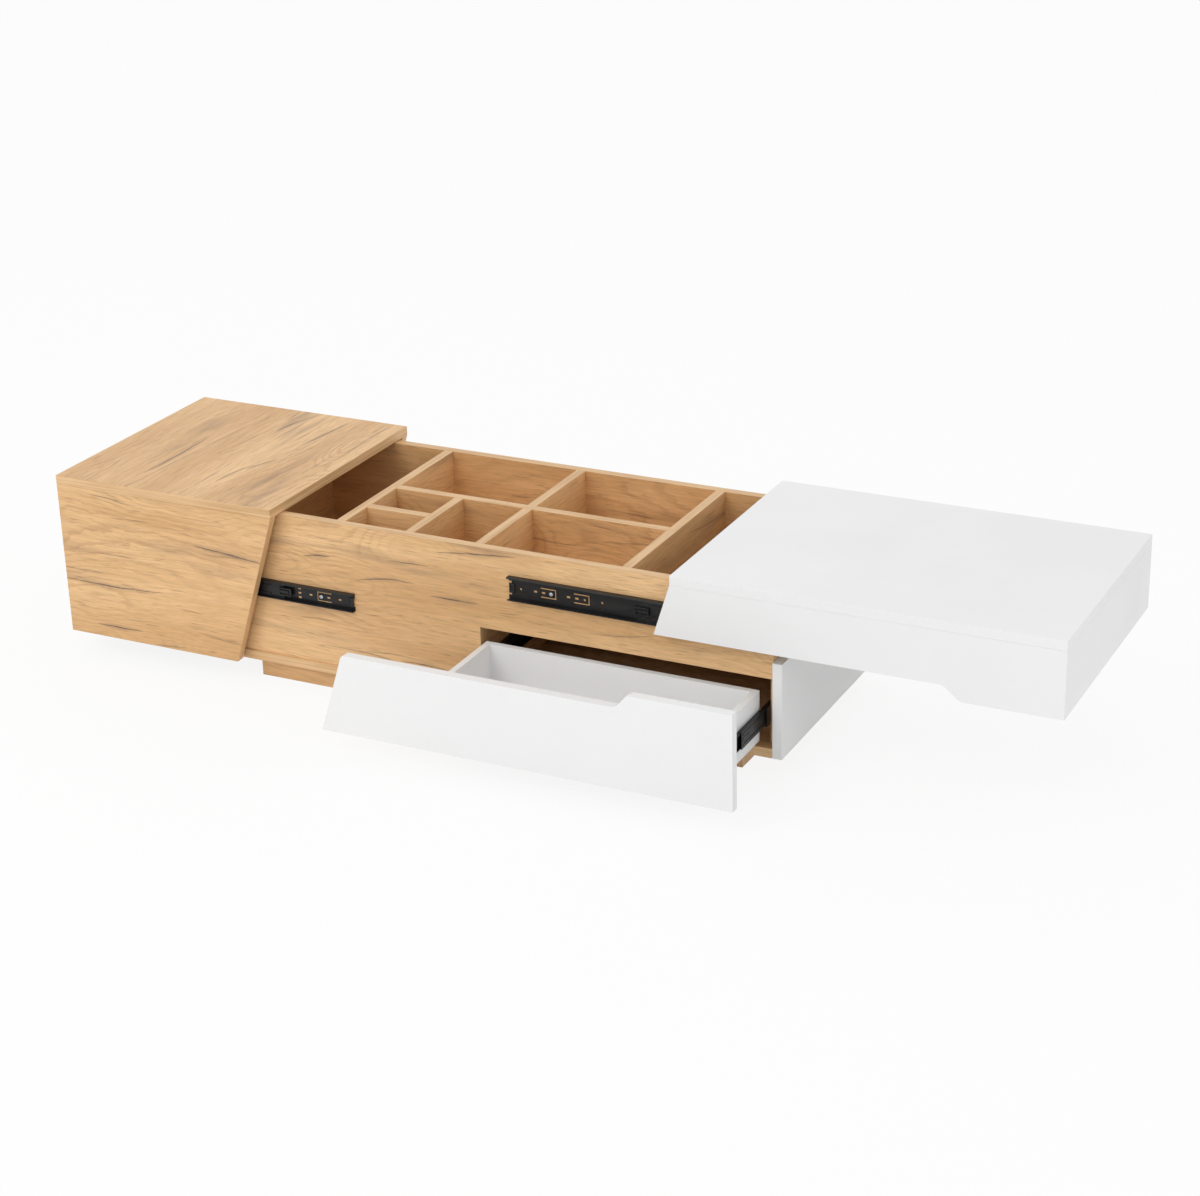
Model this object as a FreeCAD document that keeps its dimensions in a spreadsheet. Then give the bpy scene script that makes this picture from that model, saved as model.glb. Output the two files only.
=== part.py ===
import FreeCAD, Part
import os
import Sketcher

# Coffee table with two sliding tops over a compartment core, and a drawer at front and rear.
# Frame: origin on the floor under the middle of the core, +X to the white end, -Y to the front, +Z up.
# The rest pose has both tops slid fully open and the front drawer pulled out. Units are millimetres.

document = FreeCAD.newDocument("sliding_top_coffee_table")
sizes = document.addObject("Spreadsheet::Sheet", "sizes")

# Driving dimensions
DRIVING_SIZES = (
    # Core of oak boards
    ("board", 18.0, "thickness of the boards"),
    ("end_board", 12.0, "thickness of the core's end boards"),
    ("core_length", 1144.0, "core along X, without the white end panel"),
    ("core_depth", 438.0, "core along Y, over the front and back panels"),
    ("core_height", 304.0, "core from the plinth to the upper edges"),
    ("bottom_lip", 4.0, "bottom board and end panel proud of the front and back panels"),
    ("plinth_height", 42.0, "floor to the bottom board"),
    ("plinth_setback", 20.0, "plinth behind the front and back panels"),
    ("plinth_end_setback", 84.0, "plinth inside the core's left end and the white end panel"),
    ("bay_left", 3.0, "left face of the drawer bay along X"),
    ("bay_height", 130.0, "clear height of the drawer bay"),
    ("deep_divider_x", -288.0, "middle of the divider beside the deep bay"),
    ("middle_divider_x", 0.0, "middle of the middle divider"),
    ("right_divider_x", 290.0, "middle of the right divider"),
    ("small_divider_x", -144.0, "middle of the divider beside the small bays"),
    ("long_divider_y", -9.0, "middle of the lengthwise divider"),
    ("cross_divider_y", -116.0, "middle of the divider between the small bays"),
    # Sliding tops
    ("top_gap", 1.0, "running gap between the core and the tops"),
    ("slide_gap", 13.0, "room for a slide between two panels"),
    ("close_gap", 1.0, "gap left between a top's end panel and the core when closed"),
    ("seam", 3.0, "gap between neighbouring covers and fronts"),
    ("split_x", -108.0, "middle of the seam between the closed tops"),
    ("slant", 18.0, "lean of the slanted edges, in degrees"),
    ("cover_foot", 2.0, "side panels and drawer fronts above the bottom board's underside"),
    ("apron_depth", 96.0, "white apron under its top, on the left of the step"),
    ("apron_drop", 25.6, "how far the step lowers the white apron"),
    ("step_start", 384.5, "left end of the step on the white apron along X, closed"),
    ("step_run", 30.0, "length of the step"),
    ("step_radius", 25.0, "rounding at both ends of the step"),
    ("left_open", 300.0, "oak top slid out in the rest pose"),
    ("right_open", 500.0, "white top slid out in the rest pose"),
    # Drawers
    ("front_open", 187.0, "front drawer pulled out in the rest pose"),
    ("rear_open", 0.0, "rear drawer pulled out in the rest pose"),
    ("finger_dip", 26.0, "how far the drawer front is lowered for the fingers"),
    ("front_step_start", 377.5, "left end of the step on a drawer front along X"),
    ("front_step_run", 22.5, "length of this step"),
    ("front_step_radius", 12.0, "rounding at both ends of this step"),
    ("front_corner", 8.0, "rounding of the drawer front's upper left corner"),
    ("box_back_gap", 32.0, "back of a closed drawer box from the table's middle"),
    ("box_height", 96.0, "height of the drawer box"),
    ("box_wall", 12.0, "thickness of the drawer sides and back"),
    ("box_rise", 10.0, "drawer box above the bottom board"),
    ("panel_rise", 6.0, "drawer bottom panel above the lower edge of the sides"),
    ("bottom_panel", 4.0, "thickness of the drawer bottom panel"),
    ("groove_depth", 5.0, "depth of the groove in the drawer sides"),
    # Ball bearing slides, each a cabinet rail, a middle rail and an inner rail
    ("steel", 1.2, "sheet thickness of the rails"),
    ("race_gap", 0.35, "running gap between nested rails"),
    ("cabinet_depth", 11.0, "depth of a cabinet rail"),
    ("flange_bend", 2.0, "rounding where a cabinet rail's flanges turn in"),
    ("middle_web", 3.6, "web of a middle rail from the wall"),
    ("left_slide_height", 35.0, "height of the oak top's slides"),
    ("left_slide_length", 300.0, "length of the oak top's slides"),
    ("left_slide_drop", 151.0, "middle of these slides below the core's upper edge"),
    ("left_slide_inset", 14.0, "these slides from the core's left end"),
    ("right_slide_height", 45.0, "height of the white top's slides"),
    ("right_slide_length", 500.0, "length of the white top's slides"),
    ("right_slide_drop", 67.0, "middle of these slides below the core's upper edge"),
    ("right_slide_inset", 6.0, "these slides from the core's right end"),
    ("drawer_slide_height", 35.0, "height of the drawer slides"),
    ("drawer_slide_rise", 55.0, "middle of the drawer slides above the bottom board"),
    ("drawer_slide_inset", 2.0, "drawer slides behind the front and back panels"),
    # Holes punched in the cabinet rails, measured from the rail's inner end
    ("left_lead", 13.0, "how much nearer to the end the oak top's rails are punched"),
    ("first_hole", 24.0, "first hole"),
    ("first_slot", 53.0, "slot before the first tab, white top"),
    ("left_first_slot", 45.0, "slot before the first tab, oak top"),
    ("first_tab", 63.0, "open end of the first tab"),
    ("tab_slot", 6.0, "slot in a tab from the tab's open end"),
    ("tab_screw", 21.5, "screw hole in a tab from the tab's open end"),
    ("middle_slot", 118.0, "slot after the first tab, white top"),
    ("left_middle_slot", 108.0, "slot after the first tab, oak top"),
    ("second_tab", 128.5, "open end of the second tab"),
    ("last_hole", 184.0, "last hole"),
    ("slot_row", 132.0, "row of slots in place of the second tab"),
    ("row_pitch", 8.5, "slots of this row across the rail"),
    ("tab_length", 31.0, "length of a tab"),
    ("tab_height", 19.0, "height of a tab"),
    ("tab_cut", 2.4, "width of the cut round a tab"),
    ("hole_radius", 2.2, "radius of the holes"),
    ("slot_length", 7.0, "slots along the rail"),
    ("slot_height", 4.0, "slots across the rail"),
    ("end_notch", 6.0, "depth of the notch in the rail's inner end"),
    ("notch_shoulder", 9.0, "what the notch leaves of the web above and below"),
    ("far_screw", 60.0, "second screw of a cabinet rail from the rail's outer end"),
    # Screws
    ("screw_head", 4.0, "radius of a screw head under the dome"),
    ("screw_crown", 2.4, "radius of a screw head at its top"),
    ("head_height", 2.0, "height of a screw head"),
    ("screw_shank", 1.75, "radius of a screw shank"),
    ("screw_length", 11.0, "length of a screw under its head"),
    ("drawer_screw_end", 30.0, "screws of the drawer slides from the rail's ends"),
    ("inner_screw_end", 35.0, "screws of the tops' inner rails from the rail's ends"),
)
for row, (alias, number, meaning) in enumerate(DRIVING_SIZES, start=1):
    sizes.set(f"A{row}", meaning)
    sizes.set(f"B{row}", str(number))
    sizes.setAlias(f"B{row}", alias)
document.recompute()

# Planes that many pieces share, as expressions of the driving dimensions
core_left = "(-sizes.core_length / 2)"
core_right = "(sizes.core_length / 2)"
core_front = "(-sizes.core_depth / 2)"
core_back = "(sizes.core_depth / 2)"
core_base = "sizes.plinth_height"
core_top = "(sizes.plinth_height + sizes.core_height)"
room_left = f"({core_left} + sizes.end_board)"
room_right = f"({core_right} - sizes.end_board)"
room_front = f"({core_front} + sizes.board)"
room_back = f"({core_back} - sizes.board)"
room_base = f"({core_base} + sizes.board)"
bay_top = f"({room_base} + sizes.bay_height)"
shelf_top = f"({bay_top} + sizes.board)"
lip_front = f"({core_front} - sizes.bottom_lip)"
lip_back = f"({core_back} + sizes.bottom_lip)"

top_base = f"({core_top} + sizes.top_gap)"
top_upper = f"({top_base} + sizes.board)"
side_base = f"({core_base} + sizes.cover_foot)"
cover_inner = "(sizes.core_depth / 2 + sizes.slide_gap)"
cover_outer = f"({cover_inner} + sizes.board)"
cover_left = f"({core_left} - sizes.close_gap - sizes.board)"
cover_right = f"({core_right} + sizes.close_gap + sizes.board)"
left_top_edge = "(sizes.split_x - sizes.seam / 2)"
right_top_edge = "(sizes.split_x + sizes.seam / 2)"
apron_upper_base = f"({top_base} - sizes.apron_depth)"
apron_lower_base = f"({apron_upper_base} - sizes.apron_drop)"
step_end = "(sizes.step_start + sizes.step_run)"

nodes = []


def value(expression):
    result = sizes.evalExpression(expression)
    return float(getattr(result, "Value", result))


def keep(label, shape_object):
    shape_object.Label = label
    nodes.append(shape_object)
    return shape_object


def box(name, x_span, y_span, z_span):
    """A board between two planes along each axis."""
    block = document.addObject("Part::Box", name)
    spans = (("Length", "x", x_span), ("Width", "y", y_span), ("Height", "z", z_span))
    for length, axis, (low, high) in spans:
        block.setExpression(length, f"{high} - ({low})")
        block.setExpression(f"Placement.Base.{axis}", low)
    return block


def board(label, x_span, y_span, z_span):
    return keep(label, box(label, x_span, y_span, z_span))


def notched_board(label, solid, notch):
    cut = document.addObject("Part::Cut", label)
    cut.Base = solid
    cut.Tool = notch
    return keep(label, cut)


def group(label, solids):
    """Like pieces that share one node, each still a solid of its own."""
    gathered = document.addObject("Part::Compound", label)
    gathered.Links = solids
    return keep(label, gathered)


def new_sketch(body, name, plane_role):
    sketch = body.newObject("Sketcher::SketchObject", name)
    planes = [plane for plane in body.Origin.OriginFeatures if plane.Role == plane_role]
    sketch.AttachmentSupport = [(planes[0], "")]
    sketch.MapMode = "FlatFace"
    return sketch


def bind(sketch, kind, geometry, point, expression):
    constraint = Sketcher.Constraint(kind, -1, 1, geometry, point, value(expression))
    index = sketch.addConstraint(constraint)
    sketch.setExpression(f"Constraints[{index}]", expression)


def draw_outline(sketch, corners):
    """A closed run of straight lines whose corners are set by expressions."""
    first = sketch.GeometryCount
    count = len(corners)
    places = [FreeCAD.Vector(value(across), value(along), 0) for across, along in corners]
    for number in range(count):
        line = Part.LineSegment(places[number], places[(number + 1) % count])
        sketch.addGeometry(line)
    for number in range(count):
        following = first + (number + 1) % count
        sketch.addConstraint(Sketcher.Constraint("Coincident", first + number, 2, following, 1))
    for number, (across, along) in enumerate(corners):
        bind(sketch, "DistanceX", first + number, 1, across)
        bind(sketch, "DistanceY", first + number, 1, along)


def draw_hole(sketch, across, along, radius):
    middle = FreeCAD.Vector(value(across), value(along), 0)
    circle = Part.Circle(middle, FreeCAD.Vector(0, 0, 1), value(radius))
    geometry = sketch.addGeometry(circle)
    index = sketch.addConstraint(Sketcher.Constraint("Radius", geometry, value(radius)))
    sketch.setExpression(f"Constraints[{index}]", radius)
    bind(sketch, "DistanceX", geometry, 3, across)
    bind(sketch, "DistanceY", geometry, 3, along)


def pad_body(name, plane_role, corners, thickness):
    """An outline pushed out: towards -Y from the XZ plane, towards +X from the YZ plane."""
    body = document.addObject("PartDesign::Body", name)
    sketch = new_sketch(body, name + "_outline", plane_role)
    draw_outline(sketch, corners)
    pad = body.newObject("PartDesign::Pad", name + "_pad")
    pad.Profile = sketch
    pad.setExpression("Length", thickness)
    document.recompute()
    return body


def slid(body, **shifts):
    for axis, expression in shifts.items():
        body.setExpression(f"Placement.Base.{axis}", expression)
    return body


def round_corners(body, corners, radius):
    """Rounds the corners of a padded outline, such as the two bends of an S-shaped step."""
    pad = body.Tip
    bends = []
    for number, edge in enumerate(pad.Shape.Edges, start=1):
        start, end = edge.Vertexes[0].Point, edge.Vertexes[-1].Point
        across = abs(start.x - end.x) + abs(start.z - end.z) < 0.001
        for place_x, place_z in corners:
            near = abs(start.x - value(place_x)) + abs(start.z - value(place_z)) < 0.001
            if across and near:
                bends.append(f"Edge{number}")
    fillet = body.newObject("PartDesign::Fillet", body.Name + "_rounding")
    fillet.Base = (pad, bends)
    fillet.setExpression("Radius", radius)
    document.recompute()


# Plinth: four rails set back under the core, and a middle rail that stiffens them
plinth_left = f"({core_left} + sizes.plinth_end_setback)"
plinth_right = f"({core_right} + sizes.board - sizes.plinth_end_setback)"
plinth_front = f"({core_front} + sizes.plinth_setback)"
plinth_back = f"({core_back} - sizes.plinth_setback)"
plinth_z = ("0", core_base)
plinth_inside = (f"{plinth_front} + sizes.board", f"({plinth_back} - sizes.board)")
plinth_x = (plinth_left, plinth_right)
board("plinth_front_rail", plinth_x, (plinth_front, f"({plinth_front} + sizes.board)"), plinth_z)
board("plinth_back_rail", plinth_x, (f"{plinth_back} - sizes.board", plinth_back), plinth_z)
board("plinth_left_rail", (plinth_left, f"({plinth_left} + sizes.board)"), plinth_inside, plinth_z)
board("plinth_right_rail", (f"{plinth_right} - sizes.board", plinth_right), plinth_inside, plinth_z)
board("plinth_middle_rail", ("-sizes.board / 2", "sizes.board / 2"), plinth_inside, plinth_z)

# Bottom board, with an edge that shows under the front and back panels
board("bottom_board", (core_left, core_right), (lip_front, lip_back), (core_base, room_base))

# Front and back panels, each cut away at the drawer bay up to the core's right end
panel_corners = (
    (core_left, room_base),
    ("sizes.bay_left", room_base),
    ("sizes.bay_left", bay_top),
    (core_right, bay_top),
    (core_right, core_top),
    (core_left, core_top),
)
front_panel = pad_body("front_panel", "XZ_Plane", panel_corners, "sizes.board")
keep("front_panel", slid(front_panel, y=room_front))
back_panel = pad_body("back_panel", "XZ_Plane", panel_corners, "sizes.board")
keep("back_panel", slid(back_panel, y=core_back))

# End boards, between the front and back panels
board("left_end_board", (core_left, room_left), (room_front, room_back), (room_base, core_top))
board("right_end_board", (room_right, core_right), (room_front, room_back), (room_base, core_top))
end_panel_top = f"({apron_lower_base} - sizes.seam)"
end_panel_x = (core_right, f"({core_right} + sizes.board)")
board("white_end_panel", end_panel_x, (lip_front, lip_back), (core_base, end_panel_top))


def middle_of(place):
    return (f"({place} - sizes.board / 2)", f"({place} + sizes.board / 2)")


# Dividers of the core, all flush with its upper edge
deep_x = middle_of("sizes.deep_divider_x")
middle_x = middle_of("sizes.middle_divider_x")
right_x = middle_of("sizes.right_divider_x")
small_x = middle_of("sizes.small_divider_x")
long_y = middle_of("sizes.long_divider_y")
cross_y = middle_of("sizes.cross_divider_y")
room_y = (room_front, room_back)
shelf_z = (shelf_top, core_top)
lap_z = f"({shelf_top} + ({core_top} - {shelf_top}) / 2)"
board("deep_bay_divider", deep_x, room_y, (room_base, core_top))
board("compartment_floor", (deep_x[1], room_right), room_y, (bay_top, shelf_top))
bay_partition_x = ("sizes.bay_left - sizes.board", "sizes.bay_left")
board("drawer_bay_partition", bay_partition_x, room_y, (room_base, bay_top))
notched_board(
    "middle_divider",
    box("middle_divider_blank", middle_x, room_y, shelf_z),
    box("middle_divider_notch", middle_x, long_y, (lap_z, core_top)),
)
notched_board(
    "long_divider",
    box("long_divider_blank", (deep_x[1], right_x[0]), long_y, shelf_z),
    box("long_divider_notch", middle_x, long_y, (shelf_top, lap_z)),
)
board("right_divider", right_x, room_y, shelf_z)
board("small_bay_divider", small_x, (room_front, long_y[0]), shelf_z)
board("small_bay_cross_divider", (deep_x[1], small_x[0]), cross_y, shelf_z)


def lean(height):
    """How far a slanted edge has moved to the left at a height."""
    return f"({top_base} - {height}) * tan(sizes.slant * 1 deg)"


# Oak top on the left: a top board on two slanted side panels and an end panel
left_x = f"({left_top_edge} - sizes.left_open)"
left_end = f"({cover_left} - sizes.left_open)"
cover_y = (f"-{cover_outer}", cover_outer)
between_sides = (f"-{cover_inner}", cover_inner)
board("left_top_board", (left_end, left_x), cover_y, (top_base, top_upper))
side_corners = (
    (cover_left, side_base),
    (f"{left_top_edge} - {lean(side_base)}", side_base),
    (left_top_edge, top_base),
    (cover_left, top_base),
)
for side, back_face in (("front", f"-{cover_inner}"), ("back", cover_outer)):
    panel = pad_body(f"left_{side}_side", "XZ_Plane", side_corners, "sizes.board")
    keep(f"left_{side}_side", slid(panel, x="-sizes.left_open", y=back_face))
left_end_x = (left_end, f"({left_end} + sizes.board)")
board("left_end_panel", left_end_x, between_sides, (side_base, top_base))

# White top on the right: a top board on two stepped aprons and an end apron
right_x0 = f"({right_top_edge} + sizes.right_open)"
right_end_face = f"({cover_right} + sizes.right_open)"
board("right_top_board", (right_x0, right_end_face), cover_y, (top_base, top_upper))
apron_bends = (("sizes.step_start", apron_upper_base), (step_end, apron_lower_base))
apron_corners = (
    (f"{right_top_edge} - {lean(apron_upper_base)}", apron_upper_base),
    *apron_bends,
    (cover_right, apron_lower_base),
    (cover_right, top_base),
    (right_top_edge, top_base),
)
for side, back_face in (("front", f"-{cover_inner}"), ("back", cover_outer)):
    apron = pad_body(f"right_{side}_apron", "XZ_Plane", apron_corners, "sizes.board")
    round_corners(apron, apron_bends, "sizes.step_radius")
    keep(f"right_{side}_apron", slid(apron, x="sizes.right_open", y=back_face))
right_end_x = (f"{right_end_face} - sizes.board", right_end_face)
board("right_end_apron", right_end_x, between_sides, (apron_lower_base, top_base))

# Rail profiles. A profile runs from the wall (0) outwards, and from the slide's middle up and down.
lip_height = "(2 * sizes.steel + sizes.race_gap)"
nest = "(sizes.steel + sizes.race_gap)"


def c_profile(half, web_at, web_to, reach):
    """A channel: a web between two depths, and flanges that reach to another depth."""
    inside = f"({half} - sizes.steel)"
    return (
        (web_at, f"-{half}"),
        (reach, f"-{half}"),
        (reach, f"-{inside}"),
        (web_to, f"-{inside}"),
        (web_to, inside),
        (reach, inside),
        (reach, half),
        (web_at, half),
    )


def cabinet_profile(half):
    """The outer rail: a channel on the wall whose flanges turn in at their edges."""
    inside = f"({half} - sizes.steel)"
    lip = f"({half} - {lip_height})"
    lip_at = "(sizes.cabinet_depth - sizes.steel)"
    lower = (
        ("0", f"-{half}"),
        ("sizes.cabinet_depth", f"-{half}"),
        ("sizes.cabinet_depth", f"-{lip}"),
        (lip_at, f"-{lip}"),
        (lip_at, f"-{inside}"),
        ("sizes.steel", f"-{inside}"),
    )
    upper = tuple((depth, height[1:]) for depth, height in reversed(lower))
    return lower + upper


def middle_profile(half):
    """The link rail, which runs inside the cabinet rail."""
    reach = "(sizes.cabinet_depth - sizes.steel - sizes.race_gap)"
    return c_profile(f"({half} - {nest})", "sizes.middle_web", "(sizes.middle_web + sizes.steel)", reach)


def inner_profile(half):
    """The rail on the moving panel, which runs inside the link rail and opens to the wall."""
    reach = "(sizes.middle_web + sizes.steel + sizes.race_gap)"
    web = ("sizes.slide_gap", "(sizes.slide_gap - sizes.steel)")
    return c_profile(f"({half} - 2 * {nest})", *web, reach)


def roll_flanges(body, along, wall, sign):
    """Rounds the two long outer edges of a cabinet rail, where its flanges turn in."""
    across = "y" if along == "x" else "x"
    bend_at = value(f"{wall} + {sign} * sizes.cabinet_depth")
    pad = body.Tip
    box_of_rail = pad.Shape.BoundBox
    bends = []
    for number, edge in enumerate(pad.Shape.Edges, start=1):
        first, last = edge.Vertexes[0].Point, edge.Vertexes[-1].Point
        lengthwise = abs(first.z - last.z) + abs(getattr(first, across) - getattr(last, across)) < 0.001
        outside = min(abs(first.z - box_of_rail.ZMin), abs(first.z - box_of_rail.ZMax)) < 0.001
        if lengthwise and outside and abs(getattr(first, across) - bend_at) < 0.001:
            bends.append(f"Edge{number}")
    fillet = body.newObject("PartDesign::Fillet", body.Name + "_bends")
    fillet.Base = (pad, bends)
    fillet.setExpression("Radius", "sizes.flange_bend")
    document.recompute()


def rail(name, profile, along, wall, sign, middle_height, length, start):
    """A rail along X or Y, with its wall plane, the way it faces and its lowest end."""
    corners = [(f"{wall} + {sign} * {depth}", f"{middle_height} + {rise}") for depth, rise in profile]
    body = pad_body(name, "YZ_Plane" if along == "x" else "XZ_Plane", corners, length)
    if "cabinet" in name:
        roll_flanges(body, along, wall, sign)
    if along == "x":
        return slid(body, x=start)
    return slid(body, y=f"{start} + {length}")


def slot_corners(place, height):
    low, high = f"({place} - sizes.slot_length / 2)", f"({place} + sizes.slot_length / 2)"
    below, above = f"{height} - sizes.slot_height / 2", f"{height} + sizes.slot_height / 2"
    return ((low, below), (high, below), (high, above), (low, above))


def tab_corners(end, inwards, height):
    """The cut round a tab, open towards the end of the rail."""
    far = f"({end} {inwards} sizes.tab_length)"
    near_far = f"({far} {'-' if inwards == '+' else '+'} sizes.tab_cut)"
    outer, inner = "sizes.tab_height / 2", "(sizes.tab_height / 2 - sizes.tab_cut)"
    return (
        (end, f"{height} - {outer}"),
        (far, f"{height} - {outer}"),
        (far, f"{height} + {outer}"),
        (end, f"{height} + {outer}"),
        (end, f"{height} + {inner}"),
        (near_far, f"{height} + {inner}"),
        (near_far, f"{height} - {inner}"),
        (end, f"{height} - {inner}"),
    )


def notch_corners(rail_end, inwards, height, half):
    """A notch in the middle of a rail's end, open to the outside."""
    outwards = "-" if inwards == "+" else "+"
    outside = f"({rail_end} {outwards} sizes.steel)"
    bottom = f"({rail_end} {inwards} sizes.end_notch)"
    reach = f"({half} - sizes.notch_shoulder)"
    below, above = f"({height} - {reach})", f"({height} + {reach})"
    return ((outside, below), (bottom, below), (bottom, above), (outside, above))


def punch(body, rail_end, inwards, lead, height, half, far_screw, second_tab):
    """Punches the web of a cabinet rail along X from its inner end, and returns the screws' places."""
    name = body.Name
    outwards = "-" if inwards == "+" else "+"
    end = f"({rail_end} {outwards} {lead})"

    def place(distance):
        return f"({end} {inwards} {distance})"

    sketch = new_sketch(body, name + "_holes", "XZ_Plane")
    tabs = [place("sizes.first_tab")]
    holes = [place("sizes.first_hole"), place("sizes.last_hole"), far_screw]
    if second_tab:
        tabs.append(place("sizes.second_tab"))
        slots = [(place("sizes.first_slot"), height), (place("sizes.middle_slot"), height)]
    else:
        slots = [(place("sizes.left_first_slot"), height), (place("sizes.left_middle_slot"), height)]
        for row in ("- sizes.row_pitch", "+ 0", "+ sizes.row_pitch"):
            slots.append((place("sizes.slot_row"), f"({height} {row})"))
    tab_holes = [f"({tab} {inwards} sizes.tab_screw)" for tab in tabs]
    slots += [(f"({tab} {inwards} sizes.tab_slot)", height) for tab in tabs]
    for hole in holes + tab_holes:
        draw_hole(sketch, hole, height, "sizes.hole_radius")
    for slot, slot_height in slots:
        draw_outline(sketch, slot_corners(slot, slot_height))
    for tab in tabs:
        draw_outline(sketch, tab_corners(tab, inwards, height))
    draw_outline(sketch, notch_corners(rail_end, inwards, height, half))
    before = body.Shape.Volume
    pocket = body.newObject("PartDesign::Pocket", name + "_punched")
    pocket.Profile = sketch
    pocket.Type = "ThroughAll"
    pocket.Midplane = True
    document.recompute()
    if body.Shape.Volume >= before:
        raise RuntimeError(name + ": the holes cut nothing")
    return tab_holes[0], far_screw


def screw(name, seat, outwards):
    """A pan head screw whose head rests on its seat and points along an axis, such as +x."""
    way, axis = outwards[0], outwards[1]
    turns = {"+x": ((0, 1, 0), 90), "-x": ((0, 1, 0), -90), "+y": ((1, 0, 0), -90), "-y": ((1, 0, 0), 90)}
    turn = FreeCAD.Rotation(FreeCAD.Vector(*turns[outwards][0]), turns[outwards][1])
    head = document.addObject("Part::Cone", name + "_head")
    head.setExpression("Radius1", "sizes.screw_head")
    head.setExpression("Radius2", "sizes.screw_crown")
    head.setExpression("Height", "sizes.head_height")
    shank = document.addObject("Part::Cylinder", name + "_shank")
    shank.setExpression("Radius", "sizes.screw_shank")
    shank.setExpression("Height", "sizes.screw_length")
    for piece in (head, shank):
        piece.Placement = FreeCAD.Placement(FreeCAD.Vector(), turn)
        for letter, expression in seat.items():
            piece.setExpression(f"Placement.Base.{letter}", expression)
    back = "-" if way == "+" else "+"
    shank.setExpression(f"Placement.Base.{axis}", f"{seat[axis]} {back} sizes.screw_length")
    whole = document.addObject("Part::Fuse", name)
    whole.Base = head
    whole.Tool = shank
    return whole


# Slides of the two tops, on the core's front and back faces
carcass_screws = []
left_slide_start = f"({core_left} + sizes.left_slide_inset)"
right_slide_start = f"({core_right} - sizes.right_slide_inset - sizes.right_slide_length)"
TOP_SLIDES = (
    ("left", left_slide_start, "-", "sizes.left_open"),
    ("right", right_slide_start, "+", "sizes.right_open"),
)
for top, start, opens, travel in TOP_SLIDES:
    length = f"sizes.{top}_slide_length"
    half = f"(sizes.{top}_slide_height / 2)"
    height = f"({core_top} - sizes.{top}_slide_drop)"
    inwards = "-" if top == "left" else "+"
    top_screws = []
    for side, wall, sign in (("front", core_front, "-1"), ("back", core_back, "1")):
        name = f"{top}_{side}"
        way = "-y" if side == "front" else "+y"
        cabinet = rail(f"{name}_cabinet_rail", cabinet_profile(half), "x", wall, sign, height, length, "0")
        # The rail is drawn from X = 0 and punched there, and then slid to its place
        if top == "left":
            rail_end, lead, far_screw = length, "sizes.left_lead", "sizes.far_screw"
        else:
            rail_end, lead, far_screw = "0", "0", f"({length} - sizes.far_screw)"
        has_second_tab = top == "right"
        screw_places = punch(cabinet, rail_end, inwards, lead, height, half, far_screw, has_second_tab)
        keep(f"{name}_cabinet_rail", slid(cabinet, x=start))
        seat_y = f"{wall} + {sign} * sizes.steel"
        for number, place in enumerate(screw_places, start=1):
            seat = {"x": f"{start} + {place}", "y": seat_y, "z": height}
            carcass_screws.append(screw(f"{name}_screw_{number}", seat, way))
        middle_start = f"({start} {opens} {travel} / 2)"
        node = f"{name}_middle_rail"
        keep(node, rail(node, middle_profile(half), "x", wall, sign, height, length, middle_start))
        inner_start = f"({start} {opens} {travel})"
        node = f"{name}_inner_rail"
        keep(node, rail(node, inner_profile(half), "x", wall, sign, height, length, inner_start))
        inner_seat_y = f"{wall} + {sign} * (sizes.slide_gap - sizes.steel)"
        inner_way = "+y" if side == "front" else "-y"
        screw_ends = ("sizes.inner_screw_end", f"({length} - sizes.inner_screw_end)")
        for number, place in enumerate(screw_ends, start=1):
            seat = {"x": f"{inner_start} + {place}", "y": inner_seat_y, "z": height}
            top_screws.append(screw(f"{name}_inner_screw_{number}", seat, inner_way))
    group(f"{top}_top_screws", top_screws)

# Drawers at the front and the rear, each a shaped front on a box that hangs between two slides
box_depth = f"({cover_inner} - sizes.box_back_gap)"
box_left = "(sizes.bay_left + sizes.slide_gap)"
box_right = f"({room_right} - sizes.slide_gap)"
box_base = f"({room_base} + sizes.box_rise)"
box_top = f"({box_base} + sizes.box_height)"
panel_base = f"({box_base} + sizes.panel_rise)"
panel_top = f"({panel_base} + sizes.bottom_panel)"
front_top = end_panel_top
dip_top = f"({front_top} - sizes.finger_dip)"
front_step_end = "(sizes.front_step_start + sizes.front_step_run)"
front_bends = (("sizes.front_step_start", dip_top), (front_step_end, front_top))
dip_corner = (f"{right_top_edge} - {lean(dip_top)}", dip_top)
drawer_front_corners = (
    (f"{right_top_edge} - {lean(side_base)}", side_base),
    (cover_right, side_base),
    (cover_right, front_top),
    *reversed(front_bends),
    dip_corner,
)


def span(sign, near, far):
    """Two planes counted outwards from the table's middle, at the front or the rear."""
    if sign == "-":
        return (f"-({far})", f"-({near})")
    return (f"({near})", f"({far})")


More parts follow.
